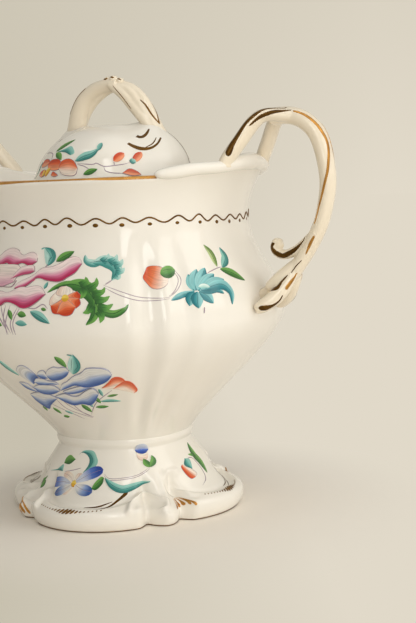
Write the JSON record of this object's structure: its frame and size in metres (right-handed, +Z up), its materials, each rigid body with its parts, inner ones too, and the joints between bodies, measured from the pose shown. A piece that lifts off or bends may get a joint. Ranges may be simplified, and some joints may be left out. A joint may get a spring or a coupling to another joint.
{
  "type": "sugar bowl",
  "caption": "Covered porcelain sugar bowl with a fluted squarish body on a scrolled foot, forked strap handles, rolled side rims and a domed lid with a loop grip that lifts off.",
  "frame": {"origin": "on the table under the middle of the foot", "axes": "+Z up, +X through the right handle, -Y towards the painted front"},
  "size_m": [0.1758, 0.1206, 0.1625],
  "materials": {
    "bowl": "clear glaze on white porcelain, painted in enamels and gilded",
    "foot": "clear glaze on white porcelain, painted in enamels and gilded",
    "rim_scroll_right": "clear glaze on white porcelain",
    "rim_scroll_left": "clear glaze on white porcelain",
    "handle_right": "clear glaze on white porcelain, with gilded lines",
    "handle_left": "clear glaze on white porcelain, with gilded lines",
    "lid": "clear glaze on white porcelain, painted in enamels and gilded",
    "lid_loop": "clear glaze on white porcelain, with gilded lines",
    "lid_knot": "clear glaze on white porcelain, with gilded touches"
  },
  "bodies": {
    "bowl_body": {"bowl": "bowl", "foot": "foot", "rim_scroll_right": "rim_scroll_right", "rim_scroll_left": "rim_scroll_left", "handle_right": "handle_right", "handle_left": "handle_left"},
    "cover": {"lid": "lid", "lid_loop": "lid_loop", "lid_knot": "lid_knot"}
  },
  "joints": [
    {"name": "lid_lift", "type": "slide", "parent": "bowl_body", "child": "cover", "axis": [0, 0, 1], "range_m": [0, 0.1]}
  ]
}
